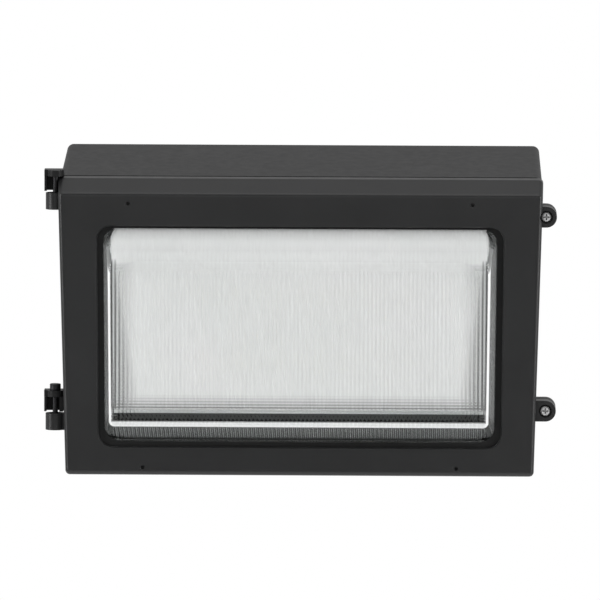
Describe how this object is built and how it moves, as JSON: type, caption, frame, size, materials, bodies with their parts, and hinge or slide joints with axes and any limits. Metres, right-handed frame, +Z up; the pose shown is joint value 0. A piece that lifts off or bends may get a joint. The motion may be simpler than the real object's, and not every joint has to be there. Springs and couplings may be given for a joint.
{
  "type": "wall pack light",
  "caption": "Wall-mounted outdoor light: cast rear housing, side-hinged door with a deep ribbed glass lens, LED tray and driver inside",
  "frame": {"origin": "centre of the casting's flat back, on the wall", "axes": "+X right as seen from the front, +Y into the wall, +Z up"},
  "size_m": [0.383, 0.186, 0.2378],
  "materials": {
    "cast_housing": "dark bronze-black fine texture powder coat",
    "cast_door": "dark bronze-black fine texture powder coat",
    "seal_rubber": "black silicone",
    "lens_glass": "clear pressed prismatic glass",
    "clip_steel": "zinc plated spring steel",
    "zinc_screws": "bright zinc plated",
    "hinge_pin": "black oxide",
    "retainer_plastic": "black nylon",
    "entry_plug": "dark powder coat",
    "white_tray": "white powder coated sheet steel",
    "board_white": "white solder mask on aluminium core",
    "led_phosphor": "yellow phosphor under clear silicone",
    "connector_white": "moulded nylon",
    "driver_metal": "plain aluminium case",
    "black_insulation": "black insulation",
    "white_insulation": "white insulation",
    "green_insulation": "green insulation",
    "red_insulation": "red insulation",
    "nut_orange": "moulded orange shell",
    "ground_green": "green dyed steel",
    "tinned_copper": "tinned copper"
  },
  "bodies": {
    "housing": {"rear_housing": "cast_housing", "wiring_grommet": "seal_rubber", "conduit_plugs": "entry_plug", "reflector_tray": "white_tray", "tray_screws": "zinc_screws", "tray_bush": "seal_rubber", "led_boards": "board_white", "leds": "led_phosphor", "board_connectors": "connector_white", "board_screws": "zinc_screws", "driver_case": "driver_metal", "driver_screws": "zinc_screws", "live_lead": "black_insulation", "neutral_lead": "white_insulation", "ground_lead": "green_insulation", "ground_terminal": "tinned_copper", "ground_screw": "ground_green", "wire_nuts": "nut_orange", "led_lead_positive": "red_insulation", "led_lead_negative": "black_insulation", "led_jumpers": "black_insulation"},
    "door": {"door_frame": "cast_door", "door_seal": "seal_rubber", "lens": "lens_glass", "lens_gasket": "seal_rubber", "lens_clips": "clip_steel", "clip_screws": "zinc_screws", "lower_hinge_pin": "hinge_pin", "upper_hinge_pin": "hinge_pin", "screw_retainers": "retainer_plastic"},
    "lower_screw": {"lower_door_screw": "zinc_screws"},
    "upper_screw": {"upper_door_screw": "zinc_screws"}
  },
  "joints": [
    {"name": "door_hinge", "type": "hinge", "parent": "housing", "child": "door", "pos_m": [-0.1832, -0.1185, 0], "axis": [0, 0, -1], "range_deg": [0, 110]},
    {"name": "lower_screw_slide", "type": "slide", "parent": "door", "child": "lower_screw", "axis": [0, -1, 0], "range_m": [0, 0.0135]},
    {"name": "upper_screw_slide", "type": "slide", "parent": "door", "child": "upper_screw", "axis": [0, -1, 0], "range_m": [0, 0.0135]}
  ]
}
